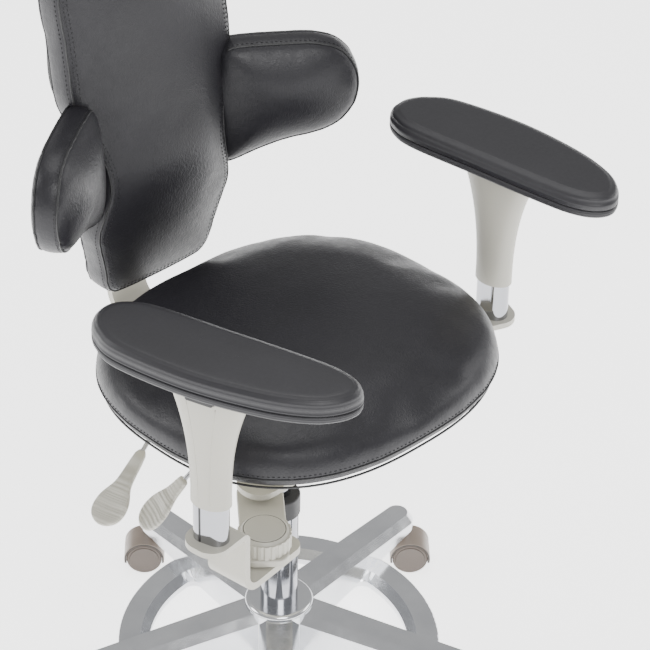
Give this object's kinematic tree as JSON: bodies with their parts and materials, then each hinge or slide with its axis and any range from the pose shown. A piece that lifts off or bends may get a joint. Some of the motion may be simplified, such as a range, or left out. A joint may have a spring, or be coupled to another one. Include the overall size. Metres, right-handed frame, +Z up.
{
  "type": "dentist stool",
  "caption": "Rolling dental stool with padded seat, winged backrest, jointed swing armrests, gas lift, star base and foot ring.",
  "frame": {"origin": "point on the floor under the centre of the lift column", "axes": "+Z up along the column, -Y the way the sitter faces, +X the sitter's left"},
  "size_m": [0.7044, 0.6839, 1.065],
  "materials": {
    "polished_aluminium": "polished casting",
    "screw_steel": "zinc plated",
    "chrome_tube": "mirror chrome",
    "black_plastic": "satin black",
    "ivory_paint": "satin ivory powder coat",
    "ivory_plastic": "satin ivory plastic",
    "taupe_hood": "satin taupe plastic",
    "taupe_wheel": "taupe tread and cap",
    "leather": "smooth charcoal leather",
    "pad_skin": "moulded charcoal skin",
    "steel_rod": "satin steel"
  },
  "bodies": {
    "base": {"star_base": "polished_aluminium", "foot_ring": "polished_aluminium", "foot_ring_screws": "screw_steel", "gas_outer_tube": "chrome_tube", "gas_collar": "black_plastic"},
    "lift": {"gas_piston": "chrome_tube"},
    "seat": {"mechanism": "ivory_paint", "seat_plate": "ivory_paint", "seat_screws": "screw_steel", "seat_shell": "ivory_plastic", "seat_cushion": "leather", "arm_carrier": "ivory_paint", "back_hinge_pin": "screw_steel", "arm_pivot_bolt_right": "screw_steel", "arm_pivot_bolt_left": "screw_steel"},
    "height_lever": {"height_lever_rod": "steel_rod", "height_lever_paddle": "ivory_plastic"},
    "tilt_lever": {"tilt_lever_rod": "steel_rod", "tilt_lever_paddle": "ivory_plastic"},
    "back": {"back_bar": "ivory_paint", "back_spacer": "black_plastic", "back_screws": "screw_steel", "back_shell": "black_plastic", "back_cushion": "leather", "back_wing_right": "leather", "back_wing_left": "leather"},
    "caster_fork_1": {"caster_stem_1": "screw_steel", "caster_hood_1": "taupe_hood"},
    "caster_wheel_1": {"caster_wheels_1": "taupe_wheel"},
    "caster_fork_2": {"caster_stem_2": "screw_steel", "caster_hood_2": "taupe_hood"},
    "caster_wheel_2": {"caster_wheels_2": "taupe_wheel"},
    "caster_fork_3": {"caster_stem_3": "screw_steel", "caster_hood_3": "taupe_hood"},
    "caster_wheel_3": {"caster_wheels_3": "taupe_wheel"},
    "caster_fork_4": {"caster_stem_4": "screw_steel", "caster_hood_4": "taupe_hood"},
    "caster_wheel_4": {"caster_wheels_4": "taupe_wheel"},
    "caster_fork_5": {"caster_stem_5": "screw_steel", "caster_hood_5": "taupe_hood"},
    "caster_wheel_5": {"caster_wheels_5": "taupe_wheel"},
    "arm_inner_right": {"inner_link_right": "ivory_paint"},
    "arm_outer_right": {"outer_link_right": "ivory_paint", "elbow_stud_right": "screw_steel", "arm_post_right": "chrome_tube"},
    "arm_knob_right": {"elbow_knob_right": "ivory_plastic"},
    "arm_top_right": {"arm_housing_right": "ivory_plastic"},
    "arm_button_right": {"release_button_right": "black_plastic"},
    "arm_rest_right": {"pad_plate_right": "black_plastic", "arm_pad_right": "pad_skin"},
    "arm_inner_left": {"inner_link_left": "ivory_paint"},
    "arm_outer_left": {"outer_link_left": "ivory_paint", "elbow_stud_left": "screw_steel", "arm_post_left": "chrome_tube"},
    "arm_knob_left": {"elbow_knob_left": "ivory_plastic"},
    "arm_top_left": {"arm_housing_left": "ivory_plastic"},
    "arm_button_left": {"release_button_left": "black_plastic"},
    "arm_rest_left": {"pad_plate_left": "black_plastic", "arm_pad_left": "pad_skin"}
  },
  "joints": [
    {"name": "caster_swivel_1", "type": "hinge", "parent": "base", "child": "caster_fork_1", "pos_m": [0.2816, 0.06037, 0.06], "axis": [0, 0, 1], "continuous": true},
    {"name": "caster_roll_1", "type": "hinge", "parent": "caster_fork_1", "child": "caster_wheel_1", "pos_m": [0.29649, 0.04701, 0.025], "axis": [0.6678, 0.7443, 0], "continuous": true},
    {"name": "caster_swivel_2", "type": "hinge", "parent": "base", "child": "caster_fork_2", "pos_m": [0.0296, 0.28647, 0.06], "axis": [0, 0, 1], "continuous": true},
    {"name": "caster_roll_2", "type": "hinge", "parent": "caster_fork_2", "child": "caster_wheel_2", "pos_m": [0.01472, 0.29983, 0.025], "axis": [-0.6678, -0.7443, 0], "continuous": true},
    {"name": "caster_swivel_3", "type": "hinge", "parent": "base", "child": "caster_fork_3", "pos_m": [-0.26331, 0.11668, 0.06], "axis": [0, 0, 1], "continuous": true},
    {"name": "caster_roll_3", "type": "hinge", "parent": "caster_fork_3", "child": "caster_wheel_3", "pos_m": [-0.28159, 0.12478, 0.025], "axis": [-0.4051, -0.9143, 0], "continuous": true},
    {"name": "caster_swivel_4", "type": "hinge", "parent": "base", "child": "caster_fork_4", "pos_m": [-0.19234, -0.21436, 0.06], "axis": [0, 0, 1], "continuous": true},
    {"name": "caster_roll_4", "type": "hinge", "parent": "caster_fork_4", "child": "caster_wheel_4", "pos_m": [-0.20569, -0.22925, 0.025], "axis": [0.7443, -0.6678, 0], "continuous": true},
    {"name": "caster_swivel_5", "type": "hinge", "parent": "base", "child": "caster_fork_5", "pos_m": [0.14444, -0.24916, 0.06], "axis": [0, 0, 1], "continuous": true},
    {"name": "caster_roll_5", "type": "hinge", "parent": "caster_fork_5", "child": "caster_wheel_5", "pos_m": [0.15446, -0.26647, 0.025], "axis": [0.8652, 0.5015, 0], "continuous": true},
    {"name": "lift_slide", "type": "slide", "parent": "base", "child": "lift", "axis": [0, 0, 1], "range_m": [-0.09, 0.03]},
    {"name": "seat_swivel", "type": "hinge", "parent": "lift", "child": "seat", "pos_m": [0, 0, 0.46], "axis": [0, 0, 1], "continuous": true},
    {"name": "height_lever_pull", "type": "hinge", "parent": "seat", "child": "height_lever", "pos_m": [-0.054, 0.044, 0.4717], "axis": [0, 1, 0], "range_deg": [0, 5], "stiffness_Nm_per_rad": 6},
    {"name": "tilt_lever_pull", "type": "hinge", "parent": "seat", "child": "tilt_lever", "pos_m": [-0.054, -0.034, 0.4736], "axis": [0, 1, 0], "range_deg": [0, 5], "stiffness_Nm_per_rad": 6},
    {"name": "back_recline", "type": "hinge", "parent": "seat", "child": "back", "pos_m": [0, 0.15, 0.467], "axis": [-1, 0, 0], "range_deg": [0, 18]},
    {"name": "arm_inner_turn_right", "type": "hinge", "parent": "seat", "child": "arm_inner_right", "pos_m": [-0.115, -0.088, 0.429], "axis": [0, 0, 1], "range_deg": [-20, 20]},
    {"name": "arm_elbow_turn_right", "type": "hinge", "parent": "arm_inner_right", "child": "arm_outer_right", "pos_m": [-0.17703, -0.16515, 0.417], "axis": [0, 0, 1], "range_deg": [-6, 30]},
    {"name": "elbow_knob_turn_right", "type": "hinge", "parent": "arm_outer_right", "child": "arm_knob_right", "pos_m": [-0.17703, -0.16515, 0.445], "axis": [0, 0, 1], "range_deg": [-90, 180]},
    {"name": "arm_height_right", "type": "slide", "parent": "arm_outer_right", "child": "arm_top_right", "axis": [0, 0, 1], "range_m": [-0.035, 0.045]},
    {"name": "release_press_right", "type": "slide", "parent": "arm_top_right", "child": "arm_button_right", "axis": [0.9432, 0.3322, 0], "range_m": [0, 0.003], "stiffness_N_per_m": 250},
    {"name": "pad_turn_right", "type": "hinge", "parent": "arm_top_right", "child": "arm_rest_right", "pos_m": [-0.27487, -0.1803, 0.742], "axis": [0, 0, 1], "range_deg": [-25, 25]},
    {"name": "arm_inner_turn_left", "type": "hinge", "parent": "seat", "child": "arm_inner_left", "pos_m": [0.115, -0.088, 0.429], "axis": [0, 0, 1], "range_deg": [-20, 4]},
    {"name": "arm_elbow_turn_left", "type": "hinge", "parent": "arm_inner_left", "child": "arm_outer_left", "pos_m": [0.20501, -0.04679, 0.417], "axis": [0, 0, 1], "range_deg": [-6, 8]},
    {"name": "elbow_knob_turn_left", "type": "hinge", "parent": "arm_outer_left", "child": "arm_knob_left", "pos_m": [0.20501, -0.04679, 0.445], "axis": [0, 0, 1], "range_deg": [-90, 180]},
    {"name": "arm_height_left", "type": "slide", "parent": "arm_outer_left", "child": "arm_top_left", "axis": [0, 0, 1], "range_m": [-0.035, 0.045]},
    {"name": "release_press_left", "type": "slide", "parent": "arm_top_left", "child": "arm_button_left", "axis": [-0.993, -0.1184, 0], "range_m": [0, 0.003], "stiffness_N_per_m": 250},
    {"name": "pad_turn_left", "type": "hinge", "parent": "arm_top_left", "child": "arm_rest_left", "pos_m": [0.2978, -0.0813, 0.742], "axis": [0, 0, 1], "range_deg": [-25, 20]}
  ]
}
